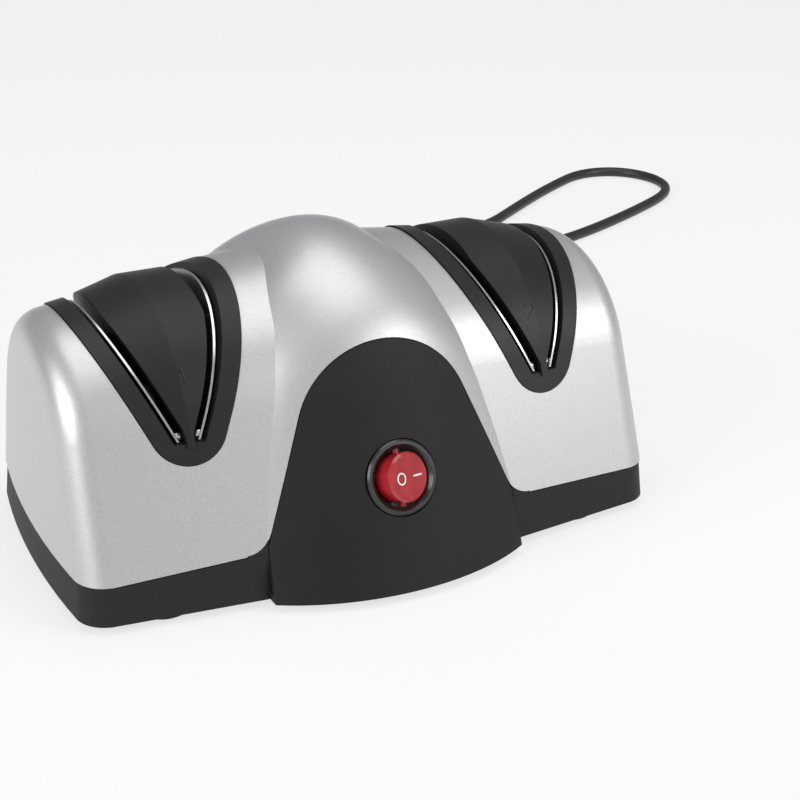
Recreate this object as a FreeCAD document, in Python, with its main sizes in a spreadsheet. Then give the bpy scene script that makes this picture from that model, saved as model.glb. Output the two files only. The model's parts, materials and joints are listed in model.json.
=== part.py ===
import FreeCAD, Part, Sketcher
import math
import os
import re
from types import SimpleNamespace

# Electric knife sharpener with two grinding stages, in millimetres.
# X runs along the machine, +Y points to its back, +Z is up.
# The origin is on the ground, under the middle of the casing.

doc = FreeCAD.newDocument("knife_sharpener")
Vector = FreeCAD.Vector

SIZES = {
    # Casing
    "case_length": 200.0,
    "case_centre_y": 4.35,
    "case_wall": 2.5,
    "fit_gap": 0.3,
    "end_lean": 2.0,
    "end_bow_radius": 333.0,
    "end_bow_forward": 23.7,
    "end_round": 10.0,
    # Wings, the two arched halves of the upper shell
    "wing_radius_middle": 49.0,
    "wing_radius_end": 39.0,
    "wing_axis_middle": 45.0,
    "wing_axis_end": 41.7,
    "wing_lean": 19.5,
    # Hump between the wings
    "hump_radius": 54.5,
    "hump_radius_back": 52.5,
    "hump_axis": 44.0,
    "hump_lean": 20.7,
    "hump_half_top": 20.0,
    "hump_half_per_degree": 0.2,
    # Base tray
    "foot_height": 2.8,
    "tray_floor": 2.5,
    "tray_wall": 2.2,
    "tray_reach": 58.1,
    "tray_shoulder": 44.0,
    "tray_taper": 6.4,
    "tray_draft": 5.0,
    "tray_back_bow": 6.2,
    "band_top_end": 15.0,
    "band_top_middle": 17.5,
    "band_ear_round": 9.0,
    # Front panel with the switch
    "panel_half_foot": 44.1,
    "panel_half_shoulder": 42.4,
    "panel_shoulder_z": 19.5,
    "panel_arch_radius": 30.0,
    "panel_arch_z": 45.0,
    "switch_z": 35.8,
    "switch_seat_radius": 12.1,
    "switch_seat_depth": 1.4,
    # Guide inserts
    "stage_x": 61.0,
    "guide_slope": 24.5,
    "guide_tip_radius": 12.0,
    "guide_tip_z": 45.8,
    "guide_proud": 0.6,
    "pocket_floor_z": 52.0,
    "pocket_half": 4.7,
    "slot_width": 4.9,
    "tongue_web_half": 1.2,
    "tongue_proud_ridge": 3.0,
    "tongue_proud_edge": 0.9,
    "guide_seat_z": 48.5,
    "guide_seat_y": 33.0,
    "guide_seat_length": 8.0,
    "guide_seat_width": 5.0,
    "nut_room": 9.0,
    "nut_room_top": 50.0,
    # Blade springs
    "strip_thickness": 0.7,
    "strip_gap": 1.3,
    "strip_band": 9.0,
    "strip_sunk": 0.8,
    "strip_lift": 0.4,
    # Drive
    "axle_z": 42.0,
    "axle_radius": 2.5,
    "motor_axle_radius": 1.6,
    "running_gap": 0.03,
    "motor_radius": 18.0,
    "motor_half": 26.0,
    "motor_wall": 1.5,
    "motor_cap": 3.0,
    "motor_boss_radius": 6.0,
    "motor_boss": 2.0,
    "armature_radius": 12.5,
    "armature_length": 37.0,
    "commutator_radius": 4.5,
    "commutator_length": 8.0,
    "armature_start": 20.0,
    "magnet_thickness": 3.0,
    "magnet_gap_half": 8.0,
    "coupling_start": 33.0,
    "coupling_length": 14.0,
    "coupling_radius": 6.0,
    "axle_end": 88.0,
    "wheel_radius": 24.0,
    "wheel_bevel": 0.6,
    "wheel_thickness": 2.2,
    "wheel_spacing": 2.4,
    "wheel_spacer_radius": 7.0,
    "hub_radius": 4.0,
    "hub_flange": 2.0,
    "hub_flange_radius": 6.0,
    "hub_nut": 3.0,
    "wheel_room": 1.0,
    "wheel_rim_room": 2.5,
    # Outer bearings
    "bush_length": 7.0,
    "bush_radius": 5.0,
    "bush_flange_radius": 6.5,
    "bush_flange": 1.5,
    "bracket_x": 81.5,
    "bracket_thickness": 4.0,
    "bracket_half": 11.0,
    "bracket_foot": 9.5,
    "base_plate": 3.0,
    "bracket_top": 51.0,
    "bracket_screw_x": 76.0,
    "bracket_screw_y": 7.0,
    # Motor cradle
    "cradle_half_length": 20.0,
    "cradle_half_width": 26.0,
    "rib_inner": 12.0,
    "rib_thickness": 4.0,
    "rib_half": 17.0,
    "rib_top": 33.0,
    "cradle_screw_x": 14.0,
    "cradle_screw_y": 22.0,
    "strap_half": 5.0,
    "strap_thickness": 1.2,
    "strap_reach": 25.5,
    "strap_screw_y": 22.4,
    # Screws
    "screw_radius": 1.5,
    "screw_hole_radius": 1.6,
    "screw_bite": 5.0,
    "screw_head_radius": 2.8,
    "screw_head": 1.8,
    "case_screw_bite": 17.0,
    "post_radius": 5.0,
    "post_bore_radius": 3.2,
    "post_seat_z": 14.0,
    "post_top": 22.0,
    "post_x": 85.0,
    "post_y": 38.0,
    # Feet
    "foot_radius": 9.0,
    "foot_front_x": 72.0,
    "foot_front_y": 43.0,
    "foot_back_x": 66.0,
    "foot_back_y": 41.0,
    "foot_stem_radius": 3.5,
    "foot_head_radius": 4.8,
    "foot_head": 1.6,
    "foot_bevel": 0.8,
    # Switch
    "switch_flange_radius": 11.7,
    "switch_flange": 1.8,
    "switch_barrel_radius": 9.8,
    "switch_barrel": 12.0,
    "switch_mouth_radius": 9.0,
    "switch_funnel_radius": 10.3,
    "switch_mouth_depth": 6.5,
    "rocker_radius": 7.8,
    "rocker_above": 4.9,
    "rocker_below": 2.6,
    "rocker_pivot_depth": 1.2,
    "rocker_tilt": 15.5,
    "rocker_pin_radius": 1.2,
    "rocker_pin_reach": 9.4,
    "terminal_length": 7.0,
    "terminal_width": 4.8,
    "terminal_thickness": 0.8,
    "terminal_pitch": 5.0,
    # Control board
    "board_x": 54.0,
    "board_y": 30.0,
    "board_length": 42.0,
    "board_width": 20.0,
    "board_thickness": 1.6,
    "board_post": 3.5,
    "board_post_radius": 3.0,
    "board_inset": 3.5,
    "bridge_length": 12.0,
    "bridge_width": 4.0,
    "bridge_height": 10.0,
    "capacitor_radius": 4.0,
    "capacitor_height": 11.0,
    "terminal_block_length": 10.0,
    "terminal_block_width": 7.0,
    "terminal_block_height": 9.0,
    # Mains lead
    "lead_radius": 2.25,
    "lead_x": 35.0,
    "lead_z": 11.2,
    "gland_boss_radius": 6.2,
    "gland_hole_radius": 4.3,
    "gland_inside": 54.0,
    "gland_outside": 61.5,
    "relief_neck_radius": 4.0,
    "relief_flange_radius": 5.6,
    "relief_flange": 1.5,
    "relief_end": 91.0,
    "relief_end_radius": 3.2,
    "relief_start_radius": 4.6,
    "clamp_y": 44.0,
    "clamp_half": 4.0,
    "clamp_width": 6.0,
    "wire_radius": 0.9,
    "wire_pitch": 2.4,
    "coil_x": 80.0,
    "coil_y": 130.0,
    "coil_inner_radius": 19.0,
    "coil_pitch": 5.2,
    "coil_layer": 5.0,
    "coil_turns_per_layer": 2.5,
    "coil_lowest": 3.6,
    "coil_dip": 0.8,
    "tie_width": 6.0,
    "tie_thickness": 1.0,
    "plug_x": 109.0,
    "plug_y": 98.0,
    "plug_length": 40.0,
    "plug_width": 35.3,
    "plug_neck_width": 12.0,
    "plug_thickness": 13.7,
    "plug_round": 3.0,
    "plug_pin_radius": 2.0,
    "plug_pin_length": 19.0,
    "plug_pin_pitch": 18.6,
}

sheet = doc.addObject("Spreadsheet::Sheet", "Sizes")
for row, (alias, number) in enumerate(SIZES.items(), start=1):
    sheet.set("A%d" % row, alias.replace("_", " "))
    sheet.set("B%d" % row, str(number))
    sheet.setAlias("B%d" % row, alias)
doc.recompute()
S = SimpleNamespace(**{alias: float(sheet.get(alias)) for alias in SIZES})


def formula(text):
    """Turn a formula over the names of sizes into one that reads the sheet."""
    def cell(match):
        word = match.group(0)
        return "Sizes." + word if word in SIZES else word
    return re.sub(r"[a-z][a-z_0-9]*", cell, str(text))


def bind(thing, **properties):
    for name, text in properties.items():
        thing.setExpression(name.replace("__", "."), formula(text))
    return thing


def place(thing, x="0", y="0", z="0", turn=None):
    if turn:
        axis, angle = turn
        thing.Placement = FreeCAD.Placement(Vector(), FreeCAD.Rotation(axis, angle))
    return bind(thing, Placement__Base__x=x, Placement__Base__y=y, Placement__Base__z=z)


ALONG_X = (Vector(0, 1, 0), 90)
pieces = []


def keep(thing, label):
    thing.Label = label
    pieces.append(thing)
    return thing


def cylinder(name, radius, length, x="0", y="0", z="0", turn=None):
    return place(bind(doc.addObject("Part::Cylinder", name), Radius=radius, Height=length), x, y, z, turn)


def box(name, length, width, height, x="0", y="0", z="0"):
    return place(bind(doc.addObject("Part::Box", name), Length=length, Width=width, Height=height), x, y, z)


def fused(name, *parts):
    made = doc.addObject("Part::MultiFuse", name)
    made.Shapes = list(parts)
    made.Refine = True
    return made


def minus(name, base, *tools):
    made = doc.addObject("Part::Cut", name)
    made.Base = base
    made.Tool = tools[0] if len(tools) == 1 else fused(name + "_tools", *tools)
    return made


def group(name, *parts):
    made = doc.addObject("Part::Compound", name)
    made.Links = list(parts)
    return made


def solid_piece(label, shape):
    made = doc.addObject("Part::Feature", label)
    made.Shape = shape
    return keep(made, label)


def origin_plane(body, role):
    return next(plane for plane in body.Origin.OriginFeatures if plane.Role == role)


def sketch_outline(body, name, role, corners):
    """A closed outline whose corners, distances from the origin, follow the sheet."""
    sketch = body.newObject("Sketcher::SketchObject", name)
    sketch.AttachmentSupport = [(origin_plane(body, role), "")]
    sketch.MapMode = "FlatFace"
    count = len(corners)
    rough = [Vector(5.0 + 3.0 * math.cos(6.28 * i / count), 5.0 + 3.0 * math.sin(6.28 * i / count), 0)
             for i in range(count)]
    for i in range(count):
        sketch.addGeometry(Part.LineSegment(rough[i], rough[(i + 1) % count]), False)
    for i in range(count):
        sketch.addConstraint(Sketcher.Constraint("Coincident", i, 2, (i + 1) % count, 1))
    for i, corner in enumerate(corners):
        for axis, text in zip(("DistanceX", "DistanceY"), corner):
            if str(text) == "0":
                on_axis = -2 if axis == "DistanceX" else -1
                sketch.addConstraint(Sketcher.Constraint("PointOnObject", i, 1, on_axis))
                continue
            index = sketch.addConstraint(Sketcher.Constraint(axis, -1, 1, i, 1, 1.0 + i))
            sketch.setExpression("Constraints[%d]" % index, formula(text))
    return sketch


def turned(label, corners, x="0", y="0", z="0", turn=None):
    """A body turned about its X axis from corners given as (distance along, radius)."""
    body = doc.addObject("PartDesign::Body", label)
    sketch = sketch_outline(body, label + "_profile", "XY_Plane", corners)
    doc.recompute()
    spin = body.newObject("PartDesign::Revolution", label + "_turned")
    spin.Profile = sketch
    spin.ReferenceAxis = (sketch, ["H_Axis"])
    spin.Angle = 360.0
    sketch.Visibility = False
    place(body, x, y, z, turn)
    return keep(body, label)


# Casing forms, drawn with curves that the shell, the tray, the panel and the guides share

def radians(degrees):
    return math.radians(degrees)


REACH = 150.0
FORM_FLOOR = -2.0
FORM_TOP = 130.0


def along_wing(x, middle, end):
    return middle + (end - middle) * abs(x) / (S.case_length / 2)


def wing_section(x, inset, lift):
    """The arch of a wing at x: leaning walls that run into a round top."""
    radius = along_wing(x, S.wing_radius_middle, S.wing_radius_end) - inset
    axis_z = along_wing(x, S.wing_axis_middle, S.wing_axis_end) + lift
    lean = radians(S.wing_lean)
    shoulder_half = radius * math.cos(lean)
    shoulder_z = axis_z + radius * math.sin(lean)
    foot_half = shoulder_half + (shoulder_z - FORM_FLOOR) * math.tan(lean)
    middle = S.case_centre_y
    front_foot = Vector(x, middle - foot_half, FORM_FLOOR)
    front = Vector(x, middle - shoulder_half, shoulder_z)
    top = Vector(x, middle, axis_z + radius)
    back = Vector(x, middle + shoulder_half, shoulder_z)
    back_foot = Vector(x, middle + foot_half, FORM_FLOOR)
    return Part.Wire([Part.makeLine(front_foot, front), Part.Arc(front, top, back).toShape(),
                      Part.makeLine(back, back_foot), Part.makeLine(back_foot, front_foot)])


def wing_loft(inset, places=None, lifts=None):
    end = S.case_length / 2 + 12.0
    places = places or [-end, 0.0, end]
    lifts = lifts or [0.0] * len(places)
    return Part.makeLoft([wing_section(x, inset, lift) for x, lift in zip(places, lifts)], True, True)


def end_half(y, z, inset, lean_degrees):
    off = y - S.case_centre_y + S.end_bow_forward
    bow = S.end_bow_radius - math.sqrt(S.end_bow_radius ** 2 - off ** 2)
    lean = (z - S.foot_height) * math.tan(radians(lean_degrees))
    return S.case_length / 2 - lean - inset - bow


def end_outline(z, inset, lean_degrees):
    y_low, y_mid, y_high = -REACH, 0.0, REACH
    half = [end_half(y, z, inset, lean_degrees) for y in (y_low, y_mid, y_high)]
    left = Part.Arc(*[Vector(-h, y, z) for h, y in zip(half, (y_low, y_mid, y_high))]).toShape()
    right = Part.Arc(*[Vector(h, y, z) for h, y in zip(half[::-1], (y_high, y_mid, y_low))]).toShape()
    far = Part.makeLine(Vector(-half[2], y_high, z), Vector(half[2], y_high, z))
    near = Part.makeLine(Vector(half[0], y_low, z), Vector(-half[0], y_low, z))
    return Part.Wire([left, far, right, near])


def end_block(inset):
    outlines = [end_outline(z, inset, S.end_lean) for z in (FORM_FLOOR - 1.0, FORM_TOP)]
    return Part.makeLoft(outlines, True, True)


def arch_reach(angle, radius, axis_z, lean_degrees):
    """Distance from the hump's axis to an arch, in the direction of the angle."""
    angle = min(angle, 180.0 - angle)
    offset = axis_z - S.hump_axis
    a = radians(angle)
    lean = radians(lean_degrees)
    on_circle = offset * math.sin(a) + math.sqrt(radius ** 2 - (offset * math.cos(a)) ** 2)
    if on_circle * math.sin(a) - offset >= radius * math.sin(lean):
        return on_circle
    return (radius + offset * math.sin(lean)) / math.cos(a - lean)


def hump_section(angle, inset):
    front_angle = min(angle, 180.0 - angle)
    half = S.hump_half_top + S.hump_half_per_degree * (90.0 - front_angle)
    radius = along_wing(half, S.wing_radius_middle, S.wing_radius_end)
    axis_z = along_wing(half, S.wing_axis_middle, S.wing_axis_end)
    edge = arch_reach(angle, radius, axis_z, S.wing_lean)
    if angle <= 90.0:
        crest = arch_reach(angle, S.hump_radius, S.hump_axis, S.hump_lean)
    else:
        share = (angle - 90.0) / 90.0
        crest_radius = S.hump_radius + (S.hump_radius_back - S.hump_radius) * min(share, 1.0)
        crest = arch_reach(angle, crest_radius, S.hump_axis, S.wing_lean)
    rise = crest - edge
    bend = (half ** 2 + rise ** 2) / (2 * rise)
    beyond = min(half + 4.0, 0.93 * bend)
    low = crest - bend + math.sqrt(bend ** 2 - beyond ** 2)
    core = 22.0
    direction = Vector(0, -math.cos(radians(angle)), math.sin(radians(angle)))
    centre = Vector(0, S.case_centre_y, S.hump_axis)

    def at(x, reach):
        return centre + direction * (reach - inset) + Vector(x, 0, 0)
    left, right = at(-beyond, low), at(beyond, low)
    left_core, right_core = at(-beyond, core), at(beyond, core)
    return Part.Wire([Part.Arc(left, at(0, crest), right).toShape(), Part.makeLine(right, right_core),
                      Part.makeLine(right_core, left_core), Part.makeLine(left_core, left)])


HUMP_ANGLES = [-36, -27, -18, -8, 4, 18, 34, 52, 70, 90, 110, 128, 146, 162, 176, 188, 200, 210]


def hump_loft(inset):
    return Part.makeLoft([hump_section(angle, inset) for angle in HUMP_ANGLES], True, False)


def is_end_edge(edge):
    """Whether an edge is where a wing's arch meets an end wall."""
    points = [vertex.Point for vertex in edge.Vertexes]
    beside_end = all(abs(point.x) > S.case_length * 0.4 for point in points)
    above_floor = max(point.z for point in points) > FORM_FLOOR + 1.0
    across = abs(points[0].x - points[-1].x) < S.end_round + 2.0
    return beside_end and above_floor and across and edge.Length > 1.0


def rounded_wings(inset):
    body = wing_loft(inset).common(end_block(inset))
    corners = [edge for edge in body.Edges if is_end_edge(edge)]
    return body.makeFillet(S.end_round - inset, corners)


def casing_form(inset):
    return rounded_wings(inset).fuse(hump_loft(inset))


def prism_along_y(face_outline, y_low, y_high):
    face = Part.Face(face_outline)
    face.translate(Vector(0, y_low, 0))
    return face.extrude(Vector(0, y_high - y_low, 0))


def flat_outline(points):
    corners = [Vector(x, 0, z) for x, z in points]
    return Part.makePolygon(corners + corners[:1])


def band_outline(raise_by):
    half = S.case_length / 2
    return flat_outline([(-half - 20, -20), (half + 20, -20), (half + 20, S.band_top_end + raise_by),
                         (half - 10, S.band_top_end + raise_by),
                         (S.tray_shoulder, S.band_top_middle + raise_by),
                         (-S.tray_shoulder, S.band_top_middle + raise_by),
                         (-half + 10, S.band_top_end + raise_by), (-half - 20, S.band_top_end + raise_by)])


def panel_side_angle():
    """Direction in which the panel's straight side faces, in radians above level."""
    reach = math.hypot(S.panel_half_shoulder, S.panel_arch_z - S.panel_shoulder_z)
    towards = math.atan2(S.panel_shoulder_z - S.panel_arch_z, S.panel_half_shoulder)
    return towards + math.acos(S.panel_arch_radius / reach)


def panel_outline(grow):
    """The arch of the front panel, seen from the front."""
    radius = S.panel_arch_radius + grow
    touch = panel_side_angle()
    right = Vector(radius * math.cos(touch), 0, S.panel_arch_z + radius * math.sin(touch))
    left = Vector(-right.x, 0, right.z)
    top = Vector(0, 0, S.panel_arch_z + radius)
    shoulder = Vector(S.panel_half_shoulder + grow, 0, S.panel_shoulder_z)
    foot = Vector(S.panel_half_foot + grow, 0, -20)
    shoulder_left = Vector(-shoulder.x, 0, shoulder.z)
    foot_left = Vector(-foot.x, 0, foot.z)
    return Part.Wire([Part.makeLine(foot, shoulder), Part.makeLine(shoulder, right),
                      Part.Arc(right, top, left).toShape(), Part.makeLine(left, shoulder_left),
                      Part.makeLine(shoulder_left, foot_left), Part.makeLine(foot_left, foot)])


def ear_outline(side, gap):
    """The rounded web that fills the shell's lower corner beside the panel."""
    face = panel_side_angle()
    outward = Vector(math.cos(face), 0, math.sin(face))
    along = Vector(-outward.z, 0, outward.x)
    corner = Vector(S.panel_half_shoulder, 0, S.panel_shoulder_z)
    rise = S.band_top_middle + S.band_ear_round - corner.z - outward.z * S.band_ear_round
    centre = corner + outward * S.band_ear_round + along * (rise / along.z)
    radius = S.band_ear_round - gap
    start = centre - outward * radius
    finish = centre - Vector(0, 0, radius)
    halfway = centre - (outward + Vector(0, 0, 1)).normalize() * radius
    low = S.band_top_middle - 0.6
    inner = Vector(start.x - 6.0, 0, start.z)
    points = [start, halfway, finish, Vector(finish.x, 0, low), Vector(inner.x, 0, low), inner]
    points = [Vector(side * point.x, 0, point.z) for point in points]
    return Part.Wire([Part.Arc(*points[:3]).toShape()]
                     + [Part.makeLine(points[i], points[(i + 1) % 6]) for i in range(2, 6)])


def front_opening(gap):
    """What the upper shell leaves to the tray and the panel at the front."""
    outlines = [band_outline(gap), panel_outline(gap), ear_outline(-1, gap), ear_outline(1, gap)]
    prisms = [prism_along_y(outline, -REACH, S.case_centre_y) for outline in outlines]
    return prisms[0].fuse(prisms[1:])


def plan_wire(z, inset):
    """The tray's outline at a height: tapered front, bowed back and ends."""
    draft = (z - S.foot_height) * math.tan(radians(S.tray_draft))
    reach = S.tray_reach - draft - inset
    middle = S.case_centre_y
    slope = math.tan(radians(S.tray_taper))

    def corner(sign):
        half = S.case_length / 2
        for step in range(8):
            y = middle + sign * (reach - (half - S.tray_shoulder) * slope)
            half = end_half(y, z, inset, S.tray_draft)
        return Vector(half, y, z)
    front, back = corner(-1), corner(1)
    mid_y = (front.y + back.y) / 2
    side = Vector(end_half(mid_y, z, inset, S.tray_draft), mid_y, z)
    front_knee = Vector(S.tray_shoulder, middle - reach, z)
    back_knee = Vector(S.tray_shoulder, middle + reach, z)
    back_middle = Vector(0, back_knee.y + S.tray_back_bow, z)

    def mirrored(point):
        return Vector(-point.x, point.y, point.z)
    return Part.Wire([
        Part.makeLine(mirrored(front_knee), front_knee),
        Part.makeLine(front_knee, front),
        Part.Arc(front, side, back).toShape(),
        Part.makeLine(back, back_knee),
        Part.Arc(back_knee, back_middle, mirrored(back_knee)).toShape(),
        Part.makeLine(mirrored(back_knee), mirrored(back)),
        Part.Arc(mirrored(back), mirrored(side), mirrored(front)).toShape(),
        Part.makeLine(mirrored(front), mirrored(front_knee))])


def plan_block(z_low, z_high, inset):
    body = Part.makeLoft([plan_wire(z_low, inset), plan_wire(z_high, inset)], True, True)
    upright = [edge for edge in body.Edges
               if abs(edge.Vertexes[0].Z - edge.Vertexes[-1].Z) > (z_high - z_low) * 0.5
               and abs(edge.Vertexes[0].X) > S.case_length / 2 * 0.75]
    return body.makeFillet(S.end_round - inset, upright)


def guide_outline(centre_x, grow):
    """The V with a round tip that a guide insert fills, seen from the front."""
    a = radians(S.guide_slope)
    radius = S.guide_tip_radius + grow
    centre_z = S.guide_tip_z + S.guide_tip_radius
    touch_half = radius * math.cos(a)
    touch_z = centre_z - radius * math.sin(a)
    top_half = touch_half + (FORM_TOP - touch_z) * math.tan(a)
    left_top = Vector(centre_x - top_half, 0, FORM_TOP)
    right_top = Vector(centre_x + top_half, 0, FORM_TOP)
    left = Vector(centre_x - touch_half, 0, touch_z)
    right = Vector(centre_x + touch_half, 0, touch_z)
    tip = Vector(centre_x, 0, centre_z - radius)
    return Part.Wire([Part.makeLine(left_top, left), Part.Arc(left, tip, right).toShape(),
                      Part.makeLine(right, right_top), Part.makeLine(right_top, left_top)])


def slope_half(z, half_at_floor):
    return half_at_floor + (z - S.pocket_floor_z) * math.tan(radians(S.guide_slope))


# Casing pieces

MIDDLE_Y = S.case_centre_y
FLOOR_Z = S.foot_height + S.tray_floor


def upright(radius, x, y, z_low, z_high):
    return Part.makeCylinder(radius, z_high - z_low, Vector(x, y, z_low))


def centred_box(x, y, length, width, z_low, z_high):
    return Part.makeBox(length, width, z_high - z_low, Vector(x - length / 2, y - width / 2, z_low))


def four_corners(front_x, front_y, back_x, back_y):
    places = []
    for side in (-1, 1):
        places.append((side * front_x, MIDDLE_Y - front_y))
        places.append((side * back_x, MIDDLE_Y + back_y))
    return places


POSTS = four_corners(S.post_x, S.post_y, S.post_x, S.post_y)
FEET = four_corners(S.foot_front_x, S.foot_front_y, S.foot_back_x, S.foot_back_y)
GUIDE_SEATS = [(side * S.stage_x, MIDDLE_Y + end * S.guide_seat_y) for side in (-1, 1) for end in (-1, 1)]
BOARD_CORNERS = [(-S.board_x + x, MIDDLE_Y + S.board_y + y)
                 for x in (S.board_inset, S.board_length - S.board_inset)
                 for y in (S.board_inset, S.board_width - S.board_inset)]
BRACKET_SCREWS = [(side * S.bracket_screw_x, MIDDLE_Y + end * S.bracket_screw_y)
                  for side in (-1, 1) for end in (-1, 1)]
CRADLE_SCREWS = [(side * S.cradle_screw_x, MIDDLE_Y + end * S.cradle_screw_y)
                 for side in (-1, 1) for end in (-1, 1)]
STRAP_SCREWS = [(0.0, MIDDLE_Y + end * S.strap_screw_y) for end in (-1, 1)]
CLAMP_SCREW = (S.lead_x + S.clamp_half + 5.0, MIDDLE_Y + S.clamp_y)
BOARD_Z = FLOOR_Z + S.board_post
BOARD_TOP = BOARD_Z + S.board_thickness


def largest(shape):
    return max(shape.Solids, key=lambda solid: solid.Volume)


def upper_shell():
    shell = casing_form(0.0).cut(casing_form(S.case_wall))
    shell = shell.cut(front_opening(S.fit_gap))
    shell = shell.cut(prism_along_y(band_outline(S.fit_gap), -REACH, REACH))
    for side in (-1, 1):
        shell = shell.cut(prism_along_y(guide_outline(side * S.stage_x, S.fit_gap), -REACH, REACH))
    shell = largest(shell)
    roots = casing_form(S.case_wall - 0.5)
    bosses = [upright(S.post_radius, x, y, S.post_top, 2 * S.axle_z).common(roots) for x, y in POSTS]
    pilots = [upright(S.screw_radius + S.running_gap, x, y, S.post_top - 1.0,
                      S.post_seat_z + S.case_screw_bite + 1.0) for x, y in POSTS]
    return largest(shell.fuse(bosses).cut(Part.Compound(pilots)))


def gland_bore(radius, near, far):
    start = Vector(S.lead_x, MIDDLE_Y + near, S.lead_z)
    return Part.makeCylinder(radius, far - near, start, Vector(0, 1, 0))


def base_tray():
    top = S.band_top_middle + 10.0
    below_band = prism_along_y(band_outline(0.0), -REACH, REACH)
    outer = plan_block(S.foot_height, top, 0.0)
    inner = plan_block(FLOOR_Z, top, S.tray_wall)
    tray = outer.cut(inner).common(below_band)
    ring = casing_form(0.0).cut(casing_form(S.tray_wall))
    panel = prism_along_y(panel_outline(S.fit_gap), -REACH, MIDDLE_Y)
    for side in (-1, 1):
        ear = prism_along_y(ear_outline(side, 0.0), -REACH, MIDDLE_Y)
        tray = tray.fuse(largest(ring.common(ear).cut(panel)))
    posts = [upright(S.post_radius, x, y, S.foot_height, S.post_top) for x, y in POSTS]
    posts += [upright(S.board_post_radius, x, y, S.foot_height + 0.5, BOARD_Z) for x, y in BOARD_CORNERS]
    for x, y in GUIDE_SEATS:
        corner = Vector(x - S.guide_seat_length / 2, y - S.guide_seat_width / 2, S.foot_height + 0.5)
        posts.append(Part.makeBox(S.guide_seat_length, S.guide_seat_width,
                                  S.guide_seat_z - corner.z, corner))
    gland = gland_bore(S.gland_boss_radius, S.gland_inside, S.gland_outside)
    tray = tray.fuse(posts + [gland])
    holes = [upright(S.foot_stem_radius + S.fit_gap, x, y, 0.0, FLOOR_Z + 1.0) for x, y in FEET]
    for x, y in POSTS:
        holes.append(upright(S.post_bore_radius, x, y, 0.0, S.post_seat_z))
        holes.append(upright(S.screw_hole_radius, x, y, 0.0, S.post_top + 1.0))
    pilot = S.screw_radius + S.running_gap
    plate_top = FLOOR_Z + S.base_plate
    for x, y in BRACKET_SCREWS + CRADLE_SCREWS + [CLAMP_SCREW]:
        holes.append(upright(pilot, x, y, plate_top - S.screw_bite - 0.1, plate_top))
    for x, y in STRAP_SCREWS:
        holes.append(upright(pilot, x, y, plate_top + S.strap_thickness - S.screw_bite - 0.1, plate_top))
    for x, y in BOARD_CORNERS:
        holes.append(upright(pilot, x, y, BOARD_TOP - S.screw_bite - 0.1, BOARD_TOP))
    holes.append(gland_bore(S.gland_hole_radius, S.gland_inside - 10.0, S.gland_outside + 1.0))
    return largest(tray.cut(Part.Compound(holes)))


PANEL_NORMAL = Vector(0, -math.cos(radians(S.hump_lean)), math.sin(radians(S.hump_lean)))
PANEL_UP = Vector(0, math.sin(radians(S.hump_lean)), math.cos(radians(S.hump_lean)))


def panel_crest_y(z):
    """Where the panel's middle line is at a height on its straight lower part."""
    lean = radians(S.hump_lean)
    return MIDDLE_Y - (S.hump_radius / math.cos(lean) + (S.hump_axis - z) * math.tan(lean))


SEAT = Vector(0, panel_crest_y(S.switch_z), S.switch_z) - PANEL_NORMAL * S.switch_seat_depth
SEAT_TURN = FreeCAD.Rotation(Vector(1, 0, 0), PANEL_UP, PANEL_NORMAL, "ZXY")


def across_seat(radius, low, high):
    return Part.makeCylinder(radius, high - low, SEAT + PANEL_NORMAL * low, PANEL_NORMAL)


def front_panel():
    whole = hump_loft(0.0)
    arch = prism_along_y(panel_outline(0.0), -REACH, MIDDLE_Y - 20.0)
    above = Part.makeBox(2 * REACH, REACH, REACH, Vector(-REACH, -REACH, S.foot_height))
    front = whole.common(arch).common(above)
    wall = front.cut(hump_loft(S.case_wall))
    low = Part.makeBox(2 * REACH, 2 * REACH, S.tray_floor, Vector(-REACH, -REACH, S.foot_height))
    floor = front.common(low)
    pad = across_seat(S.switch_seat_radius + 1.6, -S.case_wall, 0.0).common(whole)
    panel = wall.fuse([floor, pad])
    panel = panel.cut(across_seat(S.switch_seat_radius, 0.0, 10.0))
    panel = panel.cut(across_seat(S.switch_barrel_radius + 0.1, -10.0, 10.0))
    panel = panel.cut(plan_block(S.foot_height - 1.0, S.band_top_middle, 0.0))
    return largest(panel)


def wedge_outline(centre_x, half_low, z_low, z_high):
    """A V-shaped outline with a flat bottom, seen from the front."""
    high = slope_half(z_high, half_low)
    return flat_outline([(centre_x - half_low, z_low), (centre_x + half_low, z_low),
                         (centre_x + high, z_high), (centre_x - high, z_high)])


def tongue_outline(centre_x):
    """The wedge between the two slots, with a web that stays upright at its foot."""
    half_floor = S.pocket_half - S.slot_width
    web_z = S.pocket_floor_z + (S.tongue_web_half - half_floor) / math.tan(radians(S.guide_slope))
    top = slope_half(FORM_TOP, half_floor)
    web = S.tongue_web_half
    floor = S.pocket_floor_z - 1.0
    return flat_outline([(centre_x - web, floor), (centre_x + web, floor), (centre_x + web, web_z),
                         (centre_x + top, FORM_TOP), (centre_x - top, FORM_TOP), (centre_x - web, web_z)])


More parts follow.
